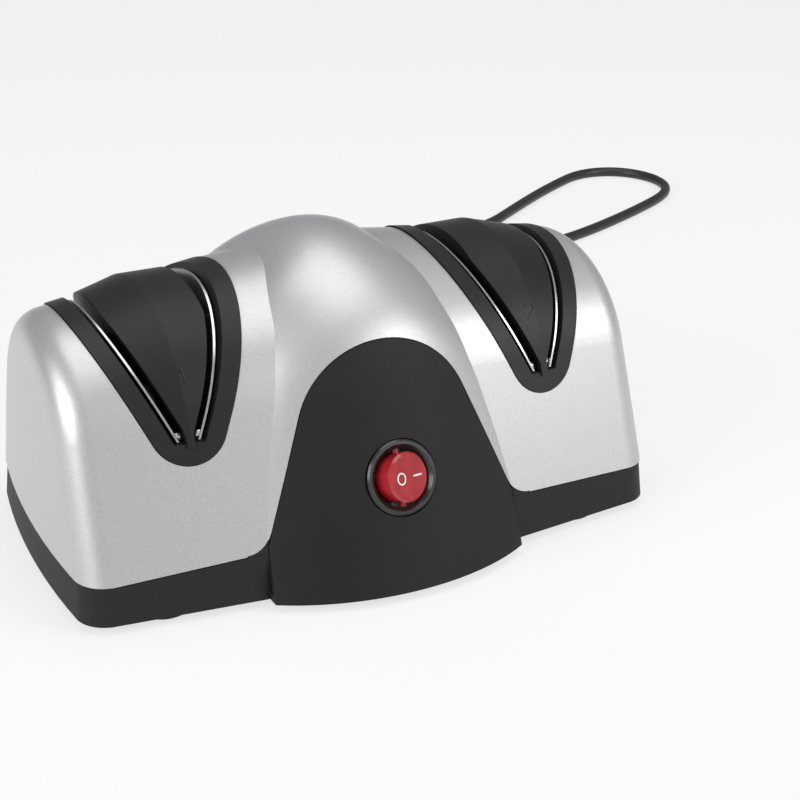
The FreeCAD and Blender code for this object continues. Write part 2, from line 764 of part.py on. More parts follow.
def guide_insert(side):
    x = side * S.stage_x
    body = prism_along_y(guide_outline(x, 0.0), -REACH, REACH)
    body = body.common(wing_loft(0.0, lifts=[S.guide_proud] * 3))
    pocket = wedge_outline(x, S.pocket_half, S.pocket_floor_z, FORM_TOP)
    body = body.cut(prism_along_y(pocket, -REACH, REACH))
    spread = slope_half(2 * S.axle_z, S.pocket_half - S.slot_width)
    raised = wing_loft(0.0, [x - spread, x, x + spread],
                       [S.tongue_proud_edge, S.tongue_proud_ridge, S.tongue_proud_edge])
    tongue = prism_along_y(tongue_outline(x), -REACH, REACH).common(raised)
    body = body.fuse(tongue)
    room = S.wheel_spacing / 2 + S.wheel_thickness + S.wheel_room
    length = S.wheel_radius + S.wheel_rim_room
    below = S.guide_tip_z - 1.0
    windows = [centred_box(x, MIDDLE_Y, 2 * room, 2 * length, below, S.axle_z + length),
               centred_box(x, MIDDLE_Y, 2 * S.nut_room, 2 * S.nut_room - 2.0, below, S.nut_room_top)]
    for seat_x, seat_y in GUIDE_SEATS:
        windows.append(centred_box(seat_x, seat_y, 2 * S.guide_seat_length, S.guide_seat_width + 3.0,
                                   below, S.guide_seat_z))
    return largest(body.cut(Part.Compound(windows)))


def spring_half(z):
    return slope_half(z, S.pocket_half) - S.strip_gap


def blade_spring(stage, side_of_slot):
    """A bright strip that stands along a slot's outer wall, with a curled tab at its front end."""
    x = stage * S.stage_x
    low = S.pocket_floor_z + S.strip_lift
    thick = S.strip_thickness
    corners = [(spring_half(low), low), (spring_half(FORM_TOP), FORM_TOP),
               (spring_half(FORM_TOP) - thick, FORM_TOP), (spring_half(low) - thick, low)]
    outline = flat_outline([(x + side_of_slot * half, z) for half, z in corners])
    slab = prism_along_y(outline, -REACH, REACH)
    ring = wing_loft(S.strip_sunk).cut(wing_loft(S.strip_sunk + S.strip_band))
    return largest(slab.common(ring))


solid_piece("upper_shell", upper_shell())
solid_piece("base_tray", base_tray())
solid_piece("front_panel", front_panel())
for stage, number in ((-1, "1"), (1, "2")):
    solid_piece("guide_insert_" + number, guide_insert(stage))
    solid_piece("blade_spring_%s_outer" % number, blade_spring(stage, stage))
    solid_piece("blade_spring_%s_inner" % number, blade_spring(stage, -stage))


# Rotor, turned about the machine's long axis

OUTWARD_RIGHT = None
OUTWARD_LEFT = (Vector(0, 0, 1), 180)
TURN_UP = (Vector(0, 1, 0), -90)
TURN_BACK = (Vector(0, 0, 1), 90)


def on_axis(label, side, start, corners):
    """A turned piece on the drive's axis, that runs outward from start."""
    outward = OUTWARD_RIGHT if side > 0 else OUTWARD_LEFT
    x = start if side > 0 else "-(%s)" % start
    return turned(label, corners, x, "case_centre_y", "axle_z", outward)


def ring_corners(length, bore, radius):
    return [("0", bore), (length, bore), (length, radius), ("0", radius)]


MOTOR_BORE = "motor_axle_radius + running_gap"
AXLE_BORE = "axle_radius + running_gap"
HUB_BORE = "hub_radius + running_gap"

on_axis("motor_shaft", 1, "-coupling_start - coupling_length / 2", [
    ("0", "0"), ("2 * coupling_start + coupling_length", "0"),
    ("2 * coupling_start + coupling_length", "motor_axle_radius"), ("0", "motor_axle_radius")])
on_axis("motor_armature", 1, "-armature_start", [
    ("0", MOTOR_BORE), ("armature_length + commutator_length", MOTOR_BORE),
    ("armature_length + commutator_length", "commutator_radius"),
    ("armature_length", "commutator_radius"), ("armature_length", "armature_radius"),
    ("0", "armature_radius")])
on_axis("motor_can", 1, "-motor_half", ring_corners(
    "2 * motor_half", "motor_radius - motor_wall", "motor_radius"))

SIDES = ((-1, "left", "1"), (1, "right", "2"))
for side, word, number in SIDES:
    on_axis("motor_end_cap_" + word, side, "motor_half", [
        ("0", MOTOR_BORE), ("motor_cap + motor_boss", MOTOR_BORE),
        ("motor_cap + motor_boss", "motor_boss_radius"), ("motor_cap", "motor_boss_radius"),
        ("motor_cap", "motor_radius"), ("0", "motor_radius")])
    on_axis("shaft_coupling_" + word, side, "coupling_start", [
        ("0", MOTOR_BORE), ("coupling_length / 2", MOTOR_BORE), ("coupling_length / 2", AXLE_BORE),
        ("coupling_length", AXLE_BORE), ("coupling_length", "coupling_radius"),
        ("0", "coupling_radius")])
    on_axis("wheel_shaft_" + word, side, "coupling_start + coupling_length / 2", [
        ("0", "0"), ("axle_end - coupling_start - coupling_length / 2", "0"),
        ("axle_end - coupling_start - coupling_length / 2", "axle_radius"), ("0", "axle_radius")])
    sleeve = "hub_flange + 2 * wheel_thickness + wheel_spacing + hub_nut"
    on_axis("wheel_hub_" + number, side,
            "stage_x - wheel_spacing / 2 - wheel_thickness - hub_flange", [
                ("0", AXLE_BORE), (sleeve, AXLE_BORE), (sleeve, "hub_radius"),
                ("hub_flange", "hub_radius"), ("hub_flange", "hub_flange_radius"),
                ("0", "hub_flange_radius")])
    disc = [("0", HUB_BORE), ("wheel_thickness", HUB_BORE), ("wheel_thickness", "wheel_radius - wheel_bevel"),
            ("wheel_thickness - wheel_bevel", "wheel_radius"), ("wheel_bevel", "wheel_radius"),
            ("0", "wheel_radius - wheel_bevel")]
    on_axis("grinding_wheel_%sa" % number, side, "stage_x - wheel_spacing / 2 - wheel_thickness", disc)
    on_axis("grinding_wheel_%sb" % number, side, "stage_x + wheel_spacing / 2", disc)
    on_axis("wheel_spacer_" + number, side, "stage_x - wheel_spacing / 2",
            ring_corners("wheel_spacing", HUB_BORE, "wheel_spacer_radius"))
    on_axis("bearing_bush_" + word, side, "bracket_x - bush_flange", [
        ("0", AXLE_BORE), ("bush_length", AXLE_BORE), ("bush_length", "bush_radius"),
        ("bush_flange", "bush_radius"), ("bush_flange", "bush_flange_radius"),
        ("0", "bush_flange_radius")])
    nut_start = "stage_x + wheel_spacing / 2 + wheel_thickness"
    x = nut_start if side > 0 else "-(%s) - hub_nut" % nut_start
    hexagon = doc.addObject("Part::Prism", "nut_%s_form" % word)
    hexagon.Polygon = 6
    place(bind(hexagon, Circumradius="hub_flange_radius", Height="hub_nut"),
          x, "case_centre_y", "axle_z", ALONG_X)
    bore = cylinder("nut_%s_bore" % word, HUB_BORE, "hub_nut + 2", "%s - 1" % x,
                    "case_centre_y", "axle_z", ALONG_X)
    keep(minus("nut_" + word, hexagon, bore), "wheel_nut_" + number)


def motor_magnets():
    outer = S.motor_radius - S.motor_wall - S.fit_gap
    length = S.armature_length - 2.0
    start = Vector(-length / 2, MIDDLE_Y, S.axle_z)
    along = Vector(1, 0, 0)
    ring = Part.makeCylinder(outer, length, start, along).cut(
        Part.makeCylinder(outer - S.magnet_thickness, length, start, along))
    split = Part.makeBox(length, 2 * outer, 2 * S.magnet_gap_half,
                         Vector(-length / 2, MIDDLE_Y - outer, S.axle_z - S.magnet_gap_half))
    return Part.Compound(ring.cut(split).Solids)


solid_piece("motor_magnets", motor_magnets())


# Brackets, cradle and strap that stand on the tray's floor

FLOOR = "foot_height + tray_floor"
PLATE_TOP = FLOOR + " + base_plate"


def screw_holes(name, places, top, length):
    return [cylinder("%s_hole_%d" % (name, i), "screw_hole_radius", length, x, y, "%s - 1" % top)
            for i, (x, y) in enumerate(places)]


for side, word, number in SIDES:
    name = "bracket_" + word
    plate_x = "bracket_x" if side > 0 else "-bracket_x - bracket_thickness"
    foot_x = "bracket_x - bracket_foot" if side > 0 else "-bracket_x"
    low_y = "case_centre_y - bracket_half"
    upright_plate = box(name + "_plate", "bracket_thickness", "2 * bracket_half",
                        "bracket_top - foot_height - tray_floor", plate_x, low_y, FLOOR)
    foot = box(name + "_foot", "bracket_foot", "2 * bracket_half", "base_plate", foot_x, low_y, FLOOR)
    bore = cylinder(name + "_bore", "bush_radius + running_gap", "3 * bracket_thickness",
                    "%s - bracket_thickness" % plate_x, "case_centre_y", "axle_z", ALONG_X)
    holes = screw_holes(name, [("%d * bracket_screw_x" % side, "case_centre_y + %d * bracket_screw_y" % end)
                               for end in (-1, 1)], FLOOR, "base_plate + 2")
    keep(minus(name, fused(name + "_form", upright_plate, foot), bore, *holes), "bearing_bracket_" + word)

cradle_plate = box("cradle_plate", "2 * cradle_half_length", "2 * cradle_half_width", "base_plate",
                   "-cradle_half_length", "case_centre_y - cradle_half_width", FLOOR)
ribs = [box("cradle_rib_" + word, "rib_thickness", "2 * rib_half", "rib_top - foot_height - tray_floor",
            "rib_inner - rib_thickness / 2" if side > 0 else "-rib_inner - rib_thickness / 2",
            "case_centre_y - rib_half", FLOOR) for side, word, number in SIDES]
saddle = cylinder("cradle_saddle", "motor_radius + running_gap", "2 * motor_half", "-motor_half",
                  "case_centre_y", "axle_z", ALONG_X)
cradle_places = [("%d * cradle_screw_x" % side, "case_centre_y + %d * cradle_screw_y" % end)
                 for side in (-1, 1) for end in (-1, 1)]
strap_places = [("0", "case_centre_y + %d * strap_screw_y" % end) for end in (-1, 1)]
keep(minus("motor_cradle", fused("cradle_form", cradle_plate, *ribs), saddle,
           *screw_holes("cradle", cradle_places + strap_places, FLOOR, "base_plate + 2")), "motor_cradle")


def motor_strap():
    """A band over the motor with a tab each side, screwed down on the cradle's plate."""
    inner = S.motor_radius + S.running_gap
    outer = inner + S.strap_thickness
    tab_low = FLOOR_Z + S.base_plate
    start = Vector(-S.strap_half, MIDDLE_Y, S.axle_z)
    along = Vector(1, 0, 0)
    ring = Part.makeCylinder(outer, 2 * S.strap_half, start, along)
    legs = Part.makeBox(2 * S.strap_half, 2 * outer, S.axle_z - tab_low,
                        Vector(-S.strap_half, MIDDLE_Y - outer, tab_low))
    tabs = Part.makeBox(2 * S.strap_half, 2 * S.strap_reach, S.strap_thickness,
                        Vector(-S.strap_half, MIDDLE_Y - S.strap_reach, tab_low))
    upper = ring.common(Part.makeBox(2 * S.strap_half, 2 * outer, outer + 1.0,
                                     Vector(-S.strap_half, MIDDLE_Y - outer, S.axle_z)))
    room = Part.makeCylinder(inner, 2 * S.strap_half, start, along).fuse(
        Part.makeBox(2 * S.strap_half, 2 * inner, S.axle_z - tab_low + 1.0,
                     Vector(-S.strap_half, MIDDLE_Y - inner, tab_low - 1.0)))
    holes = [upright(S.screw_hole_radius, x, y, tab_low - 1.0, tab_low + 3.0) for x, y in STRAP_SCREWS]
    return largest(upper.fuse([legs, tabs]).cut(room).cut(Part.Compound(holes)).removeSplitter())


solid_piece("motor_strap", motor_strap())


# Control board

board_low = FLOOR + " + board_post"
board_top = board_low + " + board_thickness"
board_y = "case_centre_y + board_y"
board_form = box("board_form", "board_length", "board_width", "board_thickness",
                 "-board_x", board_y, board_low)
board_places = [("-board_x + %s" % x, "%s + %s" % (board_y, y))
                for x in ("board_inset", "board_length - board_inset")
                for y in ("board_inset", "board_width - board_inset")]
keep(minus("board", board_form, *screw_holes("board", board_places, board_low, "board_thickness + 2")),
     "control_board")
keep(box("bridge_form", "bridge_length", "bridge_width", "bridge_height",
         "-board_x + board_length / 2 - bridge_length / 2 + 2", board_y + " + board_width / 2", board_top),
     "bridge_rectifier")
keep(cylinder("capacitor_form", "capacitor_radius", "capacitor_height",
              "-board_x + 2 * board_inset + capacitor_radius", board_y + " + board_width / 2", board_top),
     "capacitor")
keep(box("terminal_form", "terminal_block_length", "terminal_block_width", "terminal_block_height",
         "-board_x + board_length - terminal_block_length",
         board_y + " + board_width / 2 - terminal_block_width / 2", board_top), "terminal_block")


# Round rocker switch, made level and set into the panel's seat

def on_seat(thing):
    thing.Placement = FreeCAD.Placement(SEAT, SEAT_TURN)
    return thing


def switch_body():
    barrel = S.switch_barrel
    outline = [(0, -barrel), (S.switch_barrel_radius, -barrel), (S.switch_barrel_radius, 0),
               (S.switch_flange_radius, 0), (S.switch_flange_radius, S.switch_flange - 0.5),
               (S.switch_flange_radius - 0.5, S.switch_flange), (S.switch_funnel_radius, S.switch_flange),
               (S.switch_mouth_radius, 0.6), (S.switch_mouth_radius, -S.switch_mouth_depth),
               (0, -S.switch_mouth_depth)]
    body = Part.Face(flat_outline(outline)).revolve(Vector(), Vector(0, 0, 1), 360)
    reach = S.switch_barrel_radius + 0.5
    pin_room = Part.makeCylinder(S.rocker_pin_radius + S.running_gap, 2 * reach,
                                 Vector(0, -reach, -S.rocker_pivot_depth), Vector(0, 1, 0))
    return largest(Part.Solid(body.Shells[0]).cut(pin_room))


def switch_rocker():
    bevel = 0.7
    low, high, radius = -S.rocker_below, S.rocker_above, S.rocker_radius
    outline = [(0, low), (radius - bevel, low), (radius, low + bevel), (radius, high - bevel),
               (radius - bevel, high), (0, high)]
    disc = Part.Solid(Part.Face(flat_outline(outline)).revolve(Vector(), Vector(0, 0, 1), 360).Shells[0])
    pivot = Vector(0, 0, -S.rocker_pivot_depth)
    disc.rotate(Vector(), Vector(0, 1, 0), S.rocker_tilt)
    disc.translate(pivot)
    reach = S.rocker_pin_reach
    pin = Part.makeCylinder(S.rocker_pin_radius, 2 * reach, pivot - Vector(0, reach, 0), Vector(0, 1, 0))
    return largest(disc.fuse(pin))


def switch_terminals():
    blades = []
    for i in (-1, 0, 1):
        corner = Vector(i * S.terminal_pitch - S.terminal_thickness / 2, -S.terminal_width / 2,
                        -S.switch_barrel - S.terminal_length)
        blades.append(Part.makeBox(S.terminal_thickness, S.terminal_width, S.terminal_length, corner))
    return Part.Compound(blades)


on_seat(solid_piece("switch_body", switch_body()))
on_seat(solid_piece("switch_rocker", switch_rocker()))
on_seat(solid_piece("switch_terminals", switch_terminals()))


# Screws and feet

def screw(name, length, x, y, head_low, up=True):
    shank_low = "%s - (%s)" % (head_low, length) if up else head_low
    head_z = head_low if up else "%s - screw_head" % head_low
    shank = cylinder(name + "_shank", "screw_radius", length, x, y, shank_low)
    head = cylinder(name + "_head", "screw_head_radius", "screw_head", x, y, head_z)
    return fused(name, shank, head)


bracket_places = [("%d * bracket_screw_x" % side, "case_centre_y + %d * bracket_screw_y" % end)
                  for side in (-1, 1) for end in (-1, 1)]
clamp_place = ("lead_x + clamp_half + 5", "case_centre_y + clamp_y")
strap_top = PLATE_TOP + " + strap_thickness"
seats = [(place_xy, PLATE_TOP) for place_xy in bracket_places + cradle_places + [clamp_place]]
seats += [(place_xy, strap_top) for place_xy in strap_places]
seats += [(place_xy, board_top) for place_xy in board_places]
keep(group("chassis_screw_set", *[screw("chassis_screw_%d" % i, "screw_bite", x, y, top)
                                  for i, ((x, y), top) in enumerate(seats)]), "chassis_screws")
post_places = [("%d * post_x" % side, "case_centre_y + %d * post_y" % end)
               for side in (-1, 1) for end in (-1, 1)]
keep(group("case_screw_set", *[screw("case_screw_%d" % i, "case_screw_bite", x, y, "post_seat_z", up=False)
                               for i, (x, y) in enumerate(post_places)]), "case_screws")

for end, sign in (("front", "-"), ("back", "+")):
    for side, word, number in SIDES:
        stem_top = "foot_height + tray_floor"
        turned("foot_%s_%s" % (end, word), [
            ("0", "0"), (stem_top + " + foot_head", "0"), (stem_top + " + foot_head", "foot_head_radius"),
            (stem_top, "foot_head_radius"), (stem_top, "foot_stem_radius"),
            ("foot_height", "foot_stem_radius"), ("foot_height", "foot_radius"),
            ("foot_bevel", "foot_radius"), ("0", "foot_radius - foot_bevel")],
            "%d * foot_%s_x" % (side, end), "case_centre_y %s foot_%s_y" % (sign, end), "0", TURN_UP)


# Mains lead: where it enters, its run on the ground, its coil and its plug

turned("strain_relief", [
    ("0", "0"), ("relief_end - gland_inside + relief_flange", "0"),
    ("relief_end - gland_inside + relief_flange", "relief_end_radius"),
    ("gland_outside - gland_inside + 2 * relief_flange", "relief_start_radius"),
    ("gland_outside - gland_inside + 2 * relief_flange", "relief_flange_radius"),
    ("gland_outside - gland_inside + relief_flange", "relief_flange_radius"),
    ("gland_outside - gland_inside + relief_flange", "relief_neck_radius"),
    ("relief_flange", "relief_neck_radius"), ("relief_flange", "relief_flange_radius"),
    ("0", "relief_flange_radius")],
    "lead_x", "case_centre_y + gland_inside - relief_flange", "lead_z", TURN_BACK)


def tube_path(points, name):
    """Straight runs joined by arcs as large as the two runs beside each point allow."""
    runs = [(b - a).Length for a, b in zip(points, points[1:])]
    edges = []
    radii = []
    start = points[0]
    for i in range(1, len(points) - 1):
        before = (points[i - 1] - points[i]).normalize()
        after = (points[i + 1] - points[i]).normalize()
        trim = 0.45 * min(runs[i - 1], runs[i])
        half_turn = (math.pi - before.getAngle(after)) / 2
        radii.append(trim / math.tan(half_turn))
        first = points[i] + before * trim
        last = points[i] + after * trim
        inward = (before + after).normalize()
        centre = points[i] + inward * math.hypot(radii[-1], trim)
        middle = centre - inward * radii[-1]
        edges.append(Part.LineSegment(start, first).toShape())
        edges.append(Part.Arc(first, middle, last).toShape())
        start = last
    edges.append(Part.LineSegment(start, points[-1]).toShape())
    wire = Part.Wire(edges)
    print(name, "length", round(wire.Length, 1), "radii", [round(radius, 1) for radius in radii])
    return wire


def tube(wire, radius, name):
    start = wire.Edges[0].valueAt(wire.Edges[0].FirstParameter)
    direction = wire.Edges[0].tangentAt(wire.Edges[0].FirstParameter)
    profile = Part.Wire(Part.makeCircle(radius, start, direction))
    solid = wire.makePipeShell([profile], True, False)
    expected = math.pi * radius ** 2 * wire.Length
    print(name, "volume over section times length", round(solid.Volume / expected, 4))
    return solid


def at_middle(points):
    return [Vector(x, MIDDLE_Y + y, z) for x, y, z in points]


# Route of the free lead from the relief to its coil: x, y behind the casing's centre line, z
LEAD_ROUTE = [
    (35.0, 91.0, 11.2), (35.0, 116.0, 11.2), (38.0, 148.0, 2.5), (66.0, 190.0, 2.4),
    (120.0, 208.0, 2.4), (178.0, 204.0, 2.4), (221.0, 233.0, 2.4), (245.0, 247.5, 2.4),
    (267.5, 258.8, 2.4), (287.5, 253.5, 2.4), (297.8, 235.5, 2.4), (292.5, 215.5, 2.4),
    (262.0, 199.0, 2.4), (216.0, 180.0, 2.4), (172.0, 171.0, 2.6), (128.0, 162.0, 3.6),
    (84.5, 162.0, 3.6),
]
PLUG_ROUTE = [(84.5, S.plug_y, 8.6), (92.5, S.plug_y, 8.6),
              (101.0, S.plug_y, 6.85), (S.plug_x, S.plug_y, 6.85)]


def coil_point(turns):
    """A point of the coil's centre line, after a number of turns from its start at the back."""
    down = S.coil_turns_per_layer
    outer = S.coil_inner_radius + S.coil_pitch * down
    if turns <= down:
        radius = outer - S.coil_pitch * turns
        z = S.coil_lowest
    elif turns <= down + 0.5:
        share = (turns - down) / 0.5
        radius = S.coil_inner_radius - S.coil_dip * math.sin(math.pi * share) ** 2
        z = S.coil_lowest + S.coil_layer * (share - math.sin(2 * math.pi * share) / (2 * math.pi))
    else:
        radius = S.coil_inner_radius + S.coil_pitch * (turns - down - 0.5)
        z = S.coil_lowest + S.coil_layer
    angle = math.pi / 2 + 2 * math.pi * turns
    return Vector(S.coil_x + radius * math.cos(angle), MIDDLE_Y + S.coil_y + radius * math.sin(angle), z)


def coil_tangent(turns, last):
    step = 0.001
    low, high = max(turns - step, 0.0), min(turns + step, last)
    return (coil_point(high) - coil_point(low)).normalize()


def arc_from(start, direction, finish):
    chord = finish - start
    half = chord.getAngle(direction)
    sideways = direction - chord * (direction.dot(chord) / chord.Length ** 2)
    middle = start + chord * 0.5 + sideways.normalize() * (chord.Length / 2 * math.tan(half / 2))
    return Part.Arc(start, middle, finish).toShape()


def biarc(start, leave, finish, arrive):
    """Two tangent arcs between two points with given directions."""
    chord = finish - start
    both = leave + arrive
    a = 2 * (1 - leave.dot(arrive))
    b = chord.dot(both)
    reach = (-b + math.sqrt(b * b + a * chord.dot(chord))) / a
    joint = (start + finish + (leave - arrive) * reach) * 0.5
    first = arc_from(start, leave, joint)
    second = arc_from(finish, arrive * -1.0, joint)
    return [first, Part.Arc(joint, second.valueAt((second.FirstParameter + second.LastParameter) / 2),
                            finish).toShape()]


def coil_wire():
    last = 2 * S.coil_turns_per_layer + 0.5
    straight = 2 * S.lead_radius
    stations = [0.25 * i for i in range(int(round(last / 0.25)) + 1)]
    points = [coil_point(turns) for turns in stations]
    ways = [coil_tangent(turns, last) for turns in stations]
    ways[0] = Vector(-1, 0, 0)
    ways[-1] = Vector(1, 0, 0)
    edges = [Part.makeLine(points[0] - ways[0] * straight, points[0])]
    for i in range(len(points) - 1):
        edges += biarc(points[i], ways[i], points[i + 1], ways[i + 1])
    edges.append(Part.makeLine(points[-1], points[-1] + ways[-1] * straight))
    return Part.Wire(edges)


def least_gap(wire, radius):
    """Smallest gap between parts of a tube that lie more than half a turn apart along it."""
    points = wire.discretize(Number=1200)
    step = wire.Length / 1199
    apart = int(math.pi * S.coil_inner_radius / step)
    least = 1e9
    for i in range(0, len(points), 3):
        for j in range(i + apart, len(points)):
            least = min(least, (points[i] - points[j]).Length)
    return least - 2 * radius


coil_line = coil_wire()
print("coil length", round(coil_line.Length, 1), "least gap", round(least_gap(coil_line, S.lead_radius), 2))
lead_line = tube_path(at_middle(LEAD_ROUTE), "cord")
plug_line = tube_path(at_middle(PLUG_ROUTE), "cord_to_plug")
solid_piece("cord", tube(lead_line, S.lead_radius, "cord"))
solid_piece("cord_coil", tube(coil_line, S.lead_radius, "cord_coil"))
solid_piece("cord_to_plug", tube(plug_line, S.lead_radius, "cord_to_plug"))


def cord_tie():
    """A flat band round the coil's turns on its left side."""
    reach = S.coil_inner_radius + S.coil_pitch * S.coil_turns_per_layer
    clear = S.lead_radius + S.fit_gap
    far_x = S.coil_x - reach - clear
    near_x = S.coil_x - S.coil_inner_radius + clear + S.coil_dip
    low_z = S.coil_lowest - clear
    high_z = S.coil_lowest + S.coil_layer + clear
    t = S.tie_thickness
    low_y = MIDDLE_Y + S.coil_y - S.tie_width / 2
    outer = Part.makeBox(near_x - far_x + 2 * t, S.tie_width, high_z - low_z + 2 * t,
                         Vector(far_x - t, low_y, low_z - t))
    hole = Part.makeBox(near_x - far_x, S.tie_width, high_z - low_z, Vector(far_x, low_y, low_z))
    return outer.cut(hole)


def plug_body():
    """A flat two-pin plug that lies on its side, with drawn-in flanks and round edges."""
    half, neck, length = S.plug_width / 2, S.plug_neck_width / 2, S.plug_length
    points = [Vector(0, -neck, 0), Vector(0, neck, 0), Vector(length * 0.45, neck + 1.0, 0),
              Vector(length * 0.75, half, 0), Vector(length, half, 0), Vector(length, -half, 0),
              Vector(length * 0.75, -half, 0), Vector(length * 0.45, -neck - 1.0, 0)]
    body = Part.Face(Part.makePolygon(points + points[:1])).extrude(Vector(0, 0, S.plug_thickness))
    flat = [edge for edge in body.Edges
            if abs(edge.Vertexes[0].Z - edge.Vertexes[1].Z) < 0.01
            and not (edge.Vertexes[0].X < 0.01 and edge.Vertexes[1].X < 0.01)
            and not (edge.Vertexes[0].X > length - 0.01 and edge.Vertexes[1].X > length - 0.01)]
    body = body.makeFillet(S.plug_round, flat)
    body.translate(Vector(S.plug_x, MIDDLE_Y + S.plug_y, 0))
    return body


def plug_pins():
    pins = []
    for side in (-1, 1):
        start = Vector(S.plug_x + S.plug_length, MIDDLE_Y + S.plug_y + side * S.plug_pin_pitch / 2,
                       S.plug_thickness / 2)
        pins.append(Part.makeCylinder(S.plug_pin_radius, S.plug_pin_length, start, Vector(1, 0, 0)))
    return Part.Compound(pins)


solid_piece("cord_tie", cord_tie())
solid_piece("plug_body", plug_body())
solid_piece("plug_pins", plug_pins())


# Inner lead: the clamp that holds it and the wires to the terminals, the switch and the motor

def cord_clamp():
    low_y = MIDDLE_Y + S.clamp_y - S.clamp_width / 2
    top = S.lead_z + S.wire_pitch / 2 + S.wire_radius + 2.0
    block = Part.makeBox(2 * S.clamp_half, S.clamp_width, top - FLOOR_Z,
                         Vector(S.lead_x - S.clamp_half, low_y, FLOOR_Z))
    tab = Part.makeBox(9.0, S.clamp_width, S.base_plate, Vector(S.lead_x + S.clamp_half, low_y, FLOOR_Z))
    room = Part.makeBox(2.6, S.clamp_width, S.wire_pitch + 2.6,
                        Vector(S.lead_x - 1.3, low_y, S.lead_z - S.wire_pitch / 2 - 1.3))
    hole = upright(S.screw_hole_radius, CLAMP_SCREW[0], CLAMP_SCREW[1], FLOOR_Z - 1.0, FLOOR_Z + 6.0)
    return largest(block.fuse(tab).cut(room).cut(hole))


def wire_pair(name, route, spread):
    """Two thin wires side by side along one route, each end on the piece that it joins."""
    wires = []
    for side in (-1, 1):
        points = at_middle(route)
        points = [point + spread * (side * S.wire_pitch / 2) for point in points]
        wires.append(tube(tube_path(points, name), S.wire_radius, name))
    return Part.Compound(wires)


solid_piece("cord_clamp", cord_clamp())
block_x = -S.board_x + S.board_length
block_z = BOARD_TOP + S.terminal_block_height / 2
block_y = S.board_y + S.board_width / 2
inside = S.gland_inside - S.relief_flange
solid_piece("lead_wires", wire_pair("lead_wires", [
    (S.lead_x, inside, S.lead_z), (S.lead_x, S.clamp_y - 10.0, S.lead_z),
    (20.0, S.cradle_half_width + 4.0, 13.0), (5.0, block_y, block_z), (block_x, block_y, block_z)],
    Vector(0, 0, 1)))

doc.recompute()


# Checks and the hand-over of every piece

for thing in doc.Objects:
    if "Invalid" in thing.State or "Error" in thing.State:
        raise RuntimeError("%s did not recompute: %s" % (thing.Label, thing.State))
os.makedirs("parts", exist_ok=True)
for piece in pieces:
    if piece.Shape.isNull() or not piece.Shape.isValid():
        raise RuntimeError("%s has no valid shape" % piece.Label)
    piece.Shape.exportStep("parts/%s.step" % piece.Label)
print(len(pieces), "pieces")
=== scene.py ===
import json
import math

import bmesh
import bpy
from mathutils import Matrix, Vector


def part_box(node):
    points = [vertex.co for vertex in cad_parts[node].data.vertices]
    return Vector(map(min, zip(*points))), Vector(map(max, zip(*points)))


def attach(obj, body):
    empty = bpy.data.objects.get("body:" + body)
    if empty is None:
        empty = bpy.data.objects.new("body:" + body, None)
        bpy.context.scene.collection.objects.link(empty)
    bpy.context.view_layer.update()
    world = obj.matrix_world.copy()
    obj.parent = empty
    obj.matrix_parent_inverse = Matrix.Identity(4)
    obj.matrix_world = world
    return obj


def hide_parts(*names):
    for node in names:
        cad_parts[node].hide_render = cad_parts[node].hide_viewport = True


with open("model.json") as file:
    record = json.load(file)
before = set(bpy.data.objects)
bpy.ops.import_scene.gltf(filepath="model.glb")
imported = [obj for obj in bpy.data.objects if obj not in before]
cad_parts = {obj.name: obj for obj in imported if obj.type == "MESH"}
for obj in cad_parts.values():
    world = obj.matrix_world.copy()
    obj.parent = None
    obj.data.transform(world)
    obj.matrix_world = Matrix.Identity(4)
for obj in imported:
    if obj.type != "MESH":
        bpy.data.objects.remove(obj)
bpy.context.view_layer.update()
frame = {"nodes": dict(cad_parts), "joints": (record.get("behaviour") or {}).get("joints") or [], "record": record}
nodes = frame["nodes"]


def mm(*numbers):
    return Vector(number / 1000.0 for number in numbers)


# Places worked out from the frame and from the sizes that the casing was drawn with

CENTRE_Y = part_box("motor_can")[0][1] / 2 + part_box("motor_can")[1][1] / 2
PANEL_LEAN = math.radians(20.7)
PANEL_NORMAL = Vector((0.0, -math.cos(PANEL_LEAN), math.sin(PANEL_LEAN)))
PANEL_UP = Vector((0.0, math.sin(PANEL_LEAN), math.cos(PANEL_LEAN)))


# Materials

def tree_of(name):
    material = bpy.data.materials.new(name)
    material.use_nodes = True
    tree = material.node_tree
    return material, tree, tree.nodes["Principled BSDF"]


def add_node(tree, kind, **sockets):
    made = tree.nodes.new(kind)
    for name, value in sockets.items():
        made.inputs[name.replace("_", " ")].default_value = value
    return made


def noise(tree, scale, detail=4.0, stretch=None):
    """Noise in the object's own space, in cells per metre, optionally stretched along an axis."""
    place = tree.nodes.new("ShaderNodeTexCoord")
    texture = add_node(tree, "ShaderNodeTexNoise", Scale=scale, Detail=detail)
    source = place.outputs["Object"]
    if stretch:
        mapping = tree.nodes.new("ShaderNodeMapping")
        mapping.inputs["Scale"].default_value = stretch
        tree.links.new(source, mapping.inputs["Vector"])
        source = mapping.outputs["Vector"]
    tree.links.new(source, texture.inputs["Vector"])
    return texture.outputs["Fac"]


def ramp(tree, source, low, high, low_at=0.35, high_at=0.65):
    made = tree.nodes.new("ShaderNodeValToRGB")
    made.color_ramp.elements[0].position = low_at
    made.color_ramp.elements[1].position = high_at
    made.color_ramp.elements[0].color = low
    made.color_ramp.elements[1].color = high
    tree.links.new(source, made.inputs["Fac"])
    return made.outputs["Color"]


def spread(tree, source, low, high):
    made = add_node(tree, "ShaderNodeMapRange", To_Min=low, To_Max=high)
    tree.links.new(source, made.inputs["Value"])
    return made.outputs["Result"]


def bump(tree, shader, height, distance, strength=1.0):
    made = add_node(tree, "ShaderNodeBump", Strength=strength, Distance=distance)
    tree.links.new(height, made.inputs["Height"])
    tree.links.new(made.outputs["Normal"], shader.inputs["Normal"])
    return made


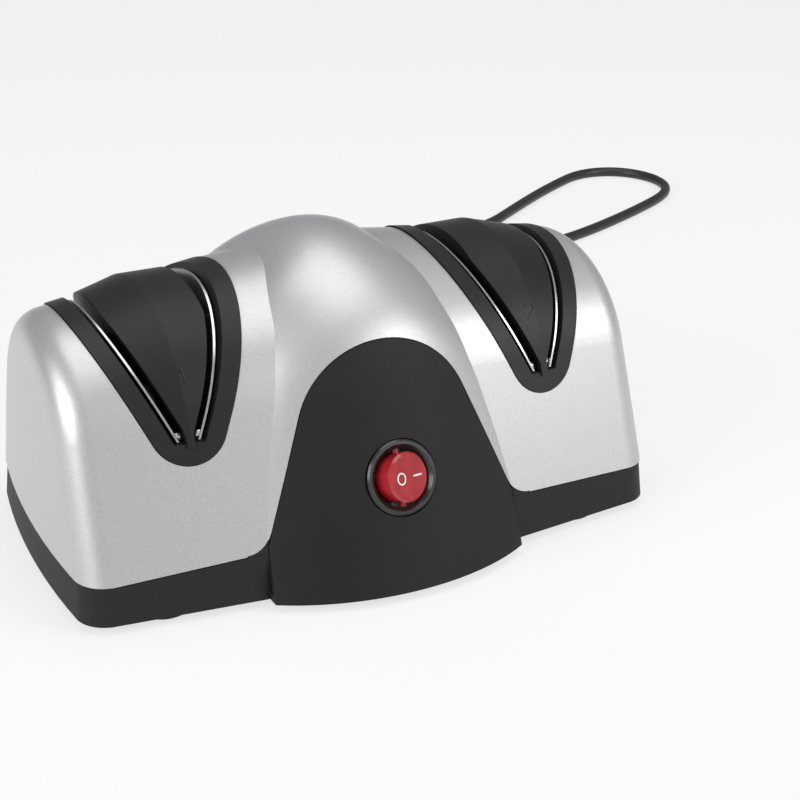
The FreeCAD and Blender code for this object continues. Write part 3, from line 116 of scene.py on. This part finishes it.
def grey(value, tint=(1.0, 1.0, 1.0)):
    return (value * tint[0], value * tint[1], value * tint[2], 1.0)


def silver_paint():
    """Satin paint with a fine bright fleck and a faint orange-peel surface."""
    material, tree, shader = tree_of("silver_paint")
    fleck = noise(tree, 5200.0, 2.0)
    colour = ramp(tree, fleck, grey(0.44, (0.98, 0.99, 1.0)), grey(0.64, (1.0, 1.0, 1.0)), 0.32, 0.70)
    tree.links.new(colour, shader.inputs["Base Color"])
    tree.links.new(spread(tree, noise(tree, 900.0), 0.37, 0.46), shader.inputs["Roughness"])
    shader.inputs["Metallic"].default_value = 0.72
    shader.inputs["Coat Weight"].default_value = 0.18
    shader.inputs["Coat Roughness"].default_value = 0.25
    bump(tree, shader, noise(tree, 1500.0, 3.0), 0.00002, 0.5)
    return material


def moulded(name, colour, roughness, grain_scale, grain_depth, coat=0.0, shine=0.5):
    """Moulded plastic: colour that drifts a little, with the mould's grain."""
    material, tree, shader = tree_of(name)
    light = tuple(min(1.0, part * 1.25) for part in colour[:3]) + (1.0,)
    drift = ramp(tree, noise(tree, 60.0, 6.0), colour, light, 0.3, 0.75)
    tree.links.new(drift, shader.inputs["Base Color"])
    tree.links.new(spread(tree, noise(tree, 420.0), roughness - 0.05, roughness + 0.06),
                   shader.inputs["Roughness"])
    shader.inputs["Specular IOR Level"].default_value = shine
    shader.inputs["Coat Weight"].default_value = coat
    shader.inputs["Coat Roughness"].default_value = 0.18
    bump(tree, shader, noise(tree, grain_scale, 3.0), grain_depth, 0.8)
    return material


def metal(name, colour, roughness, stretch=(1.0, 1.0, 1.0), grain=2600.0):
    """Metal with fine drawn or turned lines along the axes that stretch leaves small."""
    material, tree, shader = tree_of(name)
    lines = noise(tree, grain, 3.0, stretch)
    dark = tuple(part * 0.82 for part in colour[:3]) + (1.0,)
    tree.links.new(ramp(tree, lines, dark, colour), shader.inputs["Base Color"])
    tree.links.new(spread(tree, lines, roughness - 0.06, roughness + 0.08), shader.inputs["Roughness"])
    shader.inputs["Metallic"].default_value = 1.0
    bump(tree, shader, lines, 0.00001, 0.5)
    return material


def abrasive(name, colour, scale):
    material, tree, shader = tree_of(name)
    grit = noise(tree, scale, 2.0)
    dark = tuple(part * 0.45 for part in colour[:3]) + (1.0,)
    tree.links.new(ramp(tree, grit, dark, colour, 0.4, 0.6), shader.inputs["Base Color"])
    shader.inputs["Roughness"].default_value = 0.85
    bump(tree, shader, grit, 0.00012)
    return material


def red_lens():
    """Tinted red plastic that lets some light through."""
    material, tree, shader = tree_of("red_lens")
    shade = ramp(tree, noise(tree, 240.0, 3.0), (0.32, 0.010, 0.016, 1.0), (0.42, 0.018, 0.024, 1.0))
    tree.links.new(shade, shader.inputs["Base Color"])
    tree.links.new(spread(tree, noise(tree, 700.0), 0.16, 0.24), shader.inputs["Roughness"])
    shader.inputs["Subsurface Weight"].default_value = 0.25
    shader.inputs["Subsurface Radius"].default_value = (0.004, 0.0006, 0.0006)
    shader.inputs["Coat Weight"].default_value = 0.6
    shader.inputs["Coat Roughness"].default_value = 0.12
    bump(tree, shader, noise(tree, 1800.0, 2.0), 0.00001, 0.4)
    return material


SILVER = silver_paint()
TRAY = moulded("tray_texture", grey(0.0105, (0.97, 1.0, 1.05)), 0.58, 2400.0, 0.00007, shine=0.28)
PANEL = moulded("panel_texture", grey(0.0095, (1.0, 1.0, 1.01)), 0.58, 2600.0, 0.00007, shine=0.25)
GUIDE = moulded("guide_moulding", grey(0.0085, (0.97, 1.0, 1.04)), 0.44, 1900.0, 0.00003, shine=0.34)
SWITCH = moulded("switch_moulding", grey(0.009), 0.26, 1500.0, 0.000015, coat=0.3)
RUBBER = moulded("foot_rubber", grey(0.012), 0.78, 1200.0, 0.00005)
SHEATH = moulded("lead_sheath", grey(0.010), 0.42, 1400.0, 0.00002, coat=0.1)
NATURAL = moulded("inner_moulding", (0.55, 0.54, 0.49, 1.0), 0.5, 1500.0, 0.00003)
BLACK_PART = moulded("component_black", grey(0.02), 0.45, 1500.0, 0.00002)
BOARD = moulded("board_mask", (0.012, 0.09, 0.03, 1.0), 0.35, 1500.0, 0.00002, coat=0.3)
TERMINAL = moulded("terminal_white", (0.72, 0.72, 0.68, 1.0), 0.45, 1200.0, 0.00002)
WIRE = moulded("wire_blue", (0.02, 0.05, 0.25, 1.0), 0.4, 1200.0, 0.00002)
MARK = moulded("mark_white", (0.80, 0.79, 0.78, 1.0), 0.45, 1200.0, 0.00001)
STRIP = metal("spring_strip", (0.62, 0.62, 0.61, 1.0), 0.24, (1.0, 0.06, 0.06))
STEEL = metal("turned_steel", (0.58, 0.58, 0.58, 1.0), 0.30, (1.0, 0.1, 0.1))
ZINC = metal("zinc_sheet", (0.55, 0.57, 0.60, 1.0), 0.38)
BRASS = metal("turned_brass", (0.72, 0.52, 0.24, 1.0), 0.28, (1.0, 0.1, 0.1))
NICKEL = metal("plug_nickel", (0.74, 0.72, 0.66, 1.0), 0.22, (0.1, 1.0, 1.0))
MAGNET = moulded("magnet_sintered", grey(0.03), 0.6, 2500.0, 0.00004)
COARSE = abrasive("grit_coarse", (0.36, 0.25, 0.18, 1.0), 2600.0)
FINE = abrasive("grit_fine", (0.66, 0.63, 0.58, 1.0), 4600.0)

SLOT_MATERIALS = {
    "shell_silver": SILVER, "tray_dark": TRAY, "panel_dark": PANEL, "guide_black": GUIDE,
    "spring_steel": STRIP, "steel": STEEL, "motor_zinc": ZINC, "magnet": MAGNET,
    "inner_plastic": NATURAL, "brass_parts": BRASS, "abrasive_coarse": COARSE,
    "abrasive_fine": FINE, "board_green": BOARD, "component_black": BLACK_PART,
    "terminal_white": TERMINAL, "switch_black": SWITCH, "rocker_red": red_lens(),
    "foot_rubber": RUBBER, "lead_black": SHEATH, "tie_black": BLACK_PART,
    "plug_metal": NICKEL, "wire_blue": WIRE,
}

slot_of = {part["node"]: part["material_slot"] for part in frame["record"]["subparts"]}
for name, thing in nodes.items():
    for material_slot in thing.material_slots:
        material_slot.material = SLOT_MATERIALS[slot_of[name]]


# Helpers for pieces

def piece(name, mesh, material, body):
    made = bpy.data.objects.new(name, mesh)
    bpy.context.collection.objects.link(made)
    made.data.materials.append(material)
    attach(made, body)
    return made


def mesh_of(name, built, smooth=True):
    mesh = bpy.data.meshes.new(name)
    built.to_mesh(mesh)
    built.free()
    for face in mesh.polygons:
        face.use_smooth = smooth
    return mesh


def lathe(outline, sides=64):
    """A closed surface turned about Z from (radius, height) corners that start and end on the axis."""
    built = bmesh.new()
    rings = []
    for radius, height in outline:
        if radius < 1e-7:
            rings.append([built.verts.new((0, 0, height))])
            continue
        rings.append([built.verts.new((radius * math.cos(2 * math.pi * i / sides),
                                       radius * math.sin(2 * math.pi * i / sides), height))
                      for i in range(sides)])
    for low, high in zip(rings, rings[1:]):
        for i in range(sides):
            j = (i + 1) % sides
            if len(low) == 1:
                built.faces.new((low[0], high[j], high[i]))
            elif len(high) == 1:
                built.faces.new((low[i], low[j], high[0]))
            else:
                built.faces.new((low[i], low[j], high[j], high[i]))
    bmesh.ops.recalc_face_normals(built, faces=built.faces)
    return built


# Camera, and the route of the lead

CAMERA_AT = Vector((-0.255995, CENTRE_Y - 0.542697, 0.307452))
CAMERA_YAW, CAMERA_PITCH, CAMERA_ROLL = 0.486951, 0.423577, 0.0121746
FOCAL_PIXELS = 2001.38
PHOTO_PIXELS = 800.0


def make_camera():
    ahead = Vector((math.sin(CAMERA_YAW) * math.cos(CAMERA_PITCH),
                    math.cos(CAMERA_YAW) * math.cos(CAMERA_PITCH), -math.sin(CAMERA_PITCH)))
    level = Vector((math.cos(CAMERA_YAW), -math.sin(CAMERA_YAW), 0.0))
    above = level.cross(ahead)
    right = level * math.cos(CAMERA_ROLL) + above * math.sin(CAMERA_ROLL)
    up = above * math.cos(CAMERA_ROLL) - level * math.sin(CAMERA_ROLL)
    data = bpy.data.cameras.new("camera")
    data.sensor_width = 36.0
    data.lens = FOCAL_PIXELS * data.sensor_width / PHOTO_PIXELS
    data.clip_start = 0.01
    camera = bpy.data.objects.new("camera", data)
    bpy.context.collection.objects.link(camera)
    turn = Matrix((right, up, -ahead)).transposed().to_4x4()
    camera.matrix_world = Matrix.Translation(CAMERA_AT) @ turn
    bpy.context.scene.camera = camera


make_camera()

CORD_RADIUS = 0.00225

# Route of the free lead, in mm: x, y behind the casing's middle, z
LEAD_ROUTE = [
    (35.0, 91.0, 11.2), (35.0, 116.0, 11.2), (38.0, 148.0, 2.5), (66.0, 190.0, 2.4),
    (120.0, 208.0, 2.4), (178.0, 204.0, 2.4), (221.0, 233.0, 2.4), (245.0, 247.5, 2.4),
    (267.5, 258.8, 2.4), (287.5, 253.5, 2.4), (297.8, 235.5, 2.4), (292.5, 215.5, 2.4),
    (262.0, 199.0, 2.4), (216.0, 180.0, 2.4), (172.0, 171.0, 2.6), (128.0, 162.0, 3.6),
    (98.0, 162.0, 3.6),
]
PLUG_ROUTE = [(84.5, 98.0, 8.6), (92.5, 98.0, 8.6), (101.0, 98.0, 6.85), (109.0, 98.0, 6.85)]
COIL_AT = (80.0, 130.0)
COIL_INNER = 19.0
COIL_PITCH = 5.2
COIL_TURNS = 2.5
COIL_LOW = 3.6
COIL_LAYER = 5.0
COIL_DIP = 0.8
POINTS_PER_TURN = 16


def coil_point(turns):
    if turns <= COIL_TURNS:
        radius = COIL_INNER + COIL_PITCH * (COIL_TURNS - turns)
        z = COIL_LOW
    elif turns <= COIL_TURNS + 0.5:
        share = (turns - COIL_TURNS) / 0.5
        radius = COIL_INNER - COIL_DIP * math.sin(math.pi * share) ** 2
        z = COIL_LOW + COIL_LAYER * (share - math.sin(2 * math.pi * share) / (2 * math.pi))
    else:
        radius = COIL_INNER + COIL_PITCH * (turns - COIL_TURNS - 0.5)
        z = COIL_LOW + COIL_LAYER
    angle = math.pi / 2 + 2 * math.pi * turns
    return COIL_AT[0] + radius * math.cos(angle), COIL_AT[1] + radius * math.sin(angle), z


def cord_points():
    whole = 2 * COIL_TURNS + 0.5
    count = int(whole * POINTS_PER_TURN)
    coil = [coil_point(whole * i / count) for i in range(count + 1)]
    return [mm(x, 0, z) + Vector((0, CENTRE_Y + y / 1000.0, 0))
            for x, y, z in LEAD_ROUTE + coil + PLUG_ROUTE]


def make_cord():
    curve = bpy.data.curves.new("lead", "CURVE")
    curve.dimensions = "3D"
    spline = curve.splines.new("NURBS")
    points = cord_points()
    spline.points.add(len(points) - 1)
    for control, point in zip(spline.points, points):
        control.co = (*point, 1.0)
    spline.order_u = 3
    spline.use_endpoint_u = True
    spline.resolution_u = 8
    curve.bevel_depth = CORD_RADIUS
    curve.bevel_resolution = 5
    curve.use_fill_caps = True
    cord = piece("lead", curve, SHEATH, "housing")
    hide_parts("cord", "cord_coil", "cord_to_plug")
    return cord


RELIEF_INSIDE = 0.0105
RELIEF_FLANGE = 0.0056
RELIEF_FLANGE_LENGTH = 0.0015
RELIEF_NECK = 0.0040
RELIEF_NECK_END = 0.0090
RELIEF_FIRST_RING = 0.0046
RELIEF_LAST_RING = 0.0031
RELIEF_RINGS = 7
RELIEF_GROOVE = 0.0007
RELIEF_ROUND = 0.0003


def ribbed_relief():
    """Tapered strain relief with rings of grooves, as moulded on a mains lead."""
    low, high = [Vector(corner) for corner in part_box("strain_relief")]
    length = high.y - low.y
    steps = [(0.0, 0.0), (RELIEF_FLANGE, 0.0), (RELIEF_FLANGE, RELIEF_FLANGE_LENGTH),
             (RELIEF_NECK, RELIEF_FLANGE_LENGTH), (RELIEF_NECK, RELIEF_NECK_END),
             (RELIEF_FLANGE, RELIEF_NECK_END), (RELIEF_FLANGE, RELIEF_INSIDE - RELIEF_ROUND),
             (RELIEF_FLANGE - RELIEF_ROUND, RELIEF_INSIDE)]
    span = length - RELIEF_INSIDE
    pitch = span / RELIEF_RINGS
    for i in range(RELIEF_RINGS):
        share = i / RELIEF_RINGS
        radius = RELIEF_FIRST_RING + (RELIEF_LAST_RING - RELIEF_FIRST_RING) * share
        groove = radius - RELIEF_GROOVE
        start = RELIEF_INSIDE + span * share
        steps += [(radius, start + RELIEF_ROUND), (radius, start + pitch * 0.62),
                  (groove, start + pitch * 0.68), (groove, start + pitch * 0.97)]
    steps += [(0.0030, length - 0.0002), (0.0, length)]
    mesh = mesh_of("relief_ribbed", lathe(steps, 48))
    mesh.transform(Matrix.Rotation(-math.pi / 2, 4, "X"))
    mesh.transform(Matrix.Translation(((low.x + high.x) / 2, low.y, (low.z + high.z) / 2)))
    relief = piece("relief_ribbed", mesh, SHEATH, "housing")
    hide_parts("strain_relief")
    return relief


cord = make_cord()
relief = ribbed_relief()


# Marks on the rocker: a ring and a bar, that tilt with it

ROCKER_TILT = math.radians(15.5)
ROCKER_TOP = 0.0049
RING_OUTER = 0.00195
RING_INNER = 0.00150
RING_HEIGHT = 0.00012
RING_NARROW = 0.86
RING_SIDES = 48
RING_OFFSET = -0.0031
BAR_SIZE = (0.0034, 0.00052, 0.00024)
BAR_ROUND = 0.00006
BAR_OFFSET = 0.0034


def rocker_frame():
    """Place of the rocker's top face: its centre, with Z out of the face."""
    joint = next(j for j in frame["joints"] if j["name"] == "rocker_press")
    pivot = Vector(joint["pos_m"])
    tilt = Matrix.Rotation(ROCKER_TILT, 3, PANEL_UP)
    out = tilt @ PANEL_NORMAL
    across = tilt @ Vector((1, 0, 0))
    turn = Matrix((across, PANEL_UP, out)).transposed().to_4x4()
    return Matrix.Translation(pivot + out * ROCKER_TOP) @ turn


def ring_mark():
    built = bmesh.new()
    loops = []
    for radius, z in ((RING_INNER, 0.0), (RING_INNER, RING_HEIGHT),
                      (RING_OUTER, RING_HEIGHT), (RING_OUTER, 0.0)):
        turns = [2 * math.pi * i / RING_SIDES for i in range(RING_SIDES)]
        loops.append([built.verts.new((radius * RING_NARROW * math.cos(turn), radius * math.sin(turn), z))
                      for turn in turns])
    for a, b in zip(loops, loops[1:] + loops[:1]):
        for i in range(RING_SIDES):
            j = (i + 1) % RING_SIDES
            built.faces.new((a[i], a[j], b[j], b[i]))
    bmesh.ops.recalc_face_normals(built, faces=built.faces)
    return mesh_of("mark_ring", built)


def bar_mark():
    built = bmesh.new()
    bmesh.ops.create_cube(built, size=1.0)
    bmesh.ops.scale(built, vec=BAR_SIZE, verts=built.verts)
    bmesh.ops.bevel(built, geom=built.edges[:], offset=BAR_ROUND, segments=2, affect="EDGES")
    return mesh_of("mark_bar", built)


top_of_rocker = rocker_frame()
for name, mesh, offset in (("mark_off", ring_mark(), RING_OFFSET), ("mark_on", bar_mark(), BAR_OFFSET)):
    mesh.transform(top_of_rocker @ Matrix.Translation((offset, 0, 0)))
    piece(name, mesh, MARK, "rocker")


# Raised stage numbers on the tongues, and the curled tab at each strip's lower front end

STAGE_NUMBERS = {
    "1": [(-0.35, 0.62), (0.10, 1.0), (0.10, -1.0)],
    "2": [(-0.62, 0.52), (-0.56, 0.74), (-0.38, 0.92), (-0.08, 1.0), (0.24, 0.95), (0.47, 0.78),
          (0.55, 0.52), (0.48, 0.24), (0.22, -0.10), (-0.62, -0.90), (0.62, -0.90)],
}
NUMBER_HALF_HEIGHT = 0.0026
NUMBER_STROKE = 0.00032
NUMBER_RISE = 0.00022
NUMBER_SUNK = 0.00015
NUMBER_AT = (0.0597, -0.0338, 0.0696)
NUMBER_LOOK = (0.0, 0.8, -0.6)
LOOK_BACK = 0.012


def stroke_edges(points, half_width):
    """Both edges of a line of even width that follows the points."""
    edges = []
    for i, point in enumerate(points):
        before = (point - points[i - 1]).normalized() if i else (points[1] - point).normalized()
        after = (points[i + 1] - point).normalized() if i + 1 < len(points) else before
        along = (before + after).normalized()
        across = Vector((-along.y, along.x))
        stretch = half_width / max(0.5, abs(across.dot(Vector((-before.y, before.x)))))
        edges.append((point + across * stretch, point - across * stretch))
    return edges


def stage_number(digit, side):
    """A number in low relief, laid on the tongue's face point by point."""
    guide = nodes["guide_insert_" + digit]
    outward = guide.matrix_world
    inverse = outward.inverted()

    def on_guide(point, direction):
        """The place and the facing where a line through the point meets the guide."""
        origin = inverse @ (point - direction * LOOK_BACK)
        hit, place, normal, _ = guide.ray_cast(origin, inverse.to_3x3() @ direction)
        return (outward @ place, outward.to_3x3() @ normal) if hit else (point, None)

    start = Vector((side * NUMBER_AT[0], CENTRE_Y + NUMBER_AT[1], NUMBER_AT[2]))
    centre, normal = on_guide(start, Vector(NUMBER_LOOK))
    right = Vector((1.0, 0.0, 0.0))
    right = (right - normal * right.dot(normal)).normalized()
    up = normal.cross(right)
    points = [Vector(corner) * NUMBER_HALF_HEIGHT for corner in STAGE_NUMBERS[digit]]
    built = bmesh.new()
    rings = []
    for left_edge, right_edge in stroke_edges(points, NUMBER_STROKE):
        a, b = [on_guide(centre + right * flat.x + up * flat.y, -normal)[0]
                for flat in (left_edge, right_edge)]
        rings.append([built.verts.new(place) for place in (
            a - normal * NUMBER_SUNK, a + normal * NUMBER_RISE,
            b + normal * NUMBER_RISE, b - normal * NUMBER_SUNK)])
    for low, high in zip(rings, rings[1:]):
        for i in range(4):
            j = (i + 1) % 4
            built.faces.new((low[i], low[j], high[j], high[i]))
    built.faces.new(rings[0])
    built.faces.new(rings[-1][::-1])
    bmesh.ops.recalc_face_normals(built, faces=built.faces)
    piece("number_" + digit, mesh_of("number_" + digit, built, False), GUIDE, "housing")


TAB_REACH = 0.0021
TAB_HEIGHT = 0.0025
TAB_THICKNESS = 0.0003
TAB_CURL = 0.0009
TAB_TURN = math.pi * 0.85
TAB_STEPS = 6
TAB_INSET = 0.0004
FOOT_BAND = 0.004
TOP_BAND = 0.012


def strip_tab(number, word, towards_tongue):
    """A short curled tab, folded from the strip's foot towards the tongue."""
    strip = nodes["blade_spring_%s_%s" % (number, word)]
    corners = [strip.matrix_world @ vertex.co for vertex in strip.data.vertices]
    lowest = min(corner.z for corner in corners)
    foot = [corner for corner in corners if corner.z < lowest + FOOT_BAND]
    front = min(foot, key=lambda corner: corner.y)
    upper = [corner for corner in corners if corner.z > lowest + TOP_BAND]
    top = min(upper, key=lambda corner: corner.y)
    rise = (top - front).normalized()
    start = front + Vector((0.0, TAB_INSET, 0.0))
    path = [(0.0, 0.0)]
    for i in range(TAB_STEPS + 1):
        turn = TAB_TURN * i / TAB_STEPS
        path.append((TAB_REACH - TAB_CURL + TAB_CURL * math.sin(turn),
                     TAB_CURL - TAB_CURL * math.cos(turn)))
    built = bmesh.new()
    loops = []
    for share in (0.0, 1.0):
        base = start + rise * (TAB_INSET + TAB_HEIGHT * share)
        inner, outer = [], []
        for x, y in path:
            inner.append(built.verts.new(base + Vector((towards_tongue * x, y, 0.0))))
            outer.append(built.verts.new(base + Vector((towards_tongue * x, y + TAB_THICKNESS, 0.0))))
        loops.append(inner + outer[::-1])
    low, high = loops
    for i in range(len(low)):
        j = (i + 1) % len(low)
        built.faces.new((low[i], low[j], high[j], high[i]))
    built.faces.new(low[::-1])
    built.faces.new(high)
    bmesh.ops.recalc_face_normals(built, faces=built.faces)
    label = "tab_%s_%s" % (number, word)
    piece(label, mesh_of(label, built), STRIP, "spring_%s_%s" % (number, word))


for digit, side in (("1", -1), ("2", 1)):
    stage_number(digit, side)
    strip_tab(digit, "outer", -side)
    strip_tab(digit, "inner", side)


# Floor and light

WORLD_FRONT = 0.50
WORLD_BACK = 0.30
FLOOR_HALF = 6.0
FLOOR_SHADE = 0.22
FLOOR_GLOW = 0.71

def make_floor():
    built = bmesh.new()
    bmesh.ops.create_grid(built, x_segments=1, y_segments=1, size=FLOOR_HALF)
    mesh = mesh_of("floor", built, False)
    floor = bpy.data.objects.new("floor", mesh)
    bpy.context.collection.objects.link(floor)
    material, tree, shader = tree_of("floor_pale")
    shader.inputs["Base Color"].default_value = grey(FLOOR_SHADE)
    shader.inputs["Roughness"].default_value = 0.9
    shader.inputs["Specular IOR Level"].default_value = 0.1
    shader.inputs["Emission Color"].default_value = (1.0, 1.0, 1.0, 1.0)
    shader.inputs["Emission Strength"].default_value = FLOOR_GLOW
    mesh.materials.append(material)


def area_light(name, at, towards, width, height, power, colour=(1.0, 1.0, 1.0)):
    data = bpy.data.lights.new(name, "AREA")
    data.shape = "RECTANGLE"
    data.size = width
    data.size_y = height
    data.energy = power
    data.color = colour
    light = bpy.data.objects.new(name, data)
    bpy.context.collection.objects.link(light)
    light.location = at
    light.rotation_euler = (Vector(towards) - Vector(at)).to_track_quat("-Z", "Y").to_euler()


def make_light():
    world = bpy.data.worlds.new("studio")
    world.use_nodes = True
    tree = world.node_tree
    background = tree.nodes["Background"]
    background.inputs["Color"].default_value = (0.97, 0.98, 1.0, 1.0)
    direction = tree.nodes.new("ShaderNodeTexCoord")
    split = tree.nodes.new("ShaderNodeSeparateXYZ")
    tree.links.new(direction.outputs["Generated"], split.inputs["Vector"])
    fade = add_node(tree, "ShaderNodeMapRange", From_Min=-0.7, From_Max=0.9,
                    To_Min=WORLD_FRONT, To_Max=WORLD_BACK)
    tree.links.new(split.outputs["Y"], fade.inputs["Value"])
    tree.links.new(fade.outputs["Result"], background.inputs["Strength"])
    bpy.context.scene.world = world
    area_light("key", (0.55, -0.62, 0.46), (0.04, 0.0, 0.05), 0.60, 0.50, 3.3)
    area_light("fill", (-0.95, -0.25, 0.50), (-0.04, 0.0, 0.05), 0.8, 0.6, 6.6)
    area_light("top", (0.15, 0.05, 1.15), (0.02, 0.0, 0.05), 1.1, 0.8, 5.0)


make_floor()
make_light()
bpy.context.scene.view_settings.view_transform = "Standard"
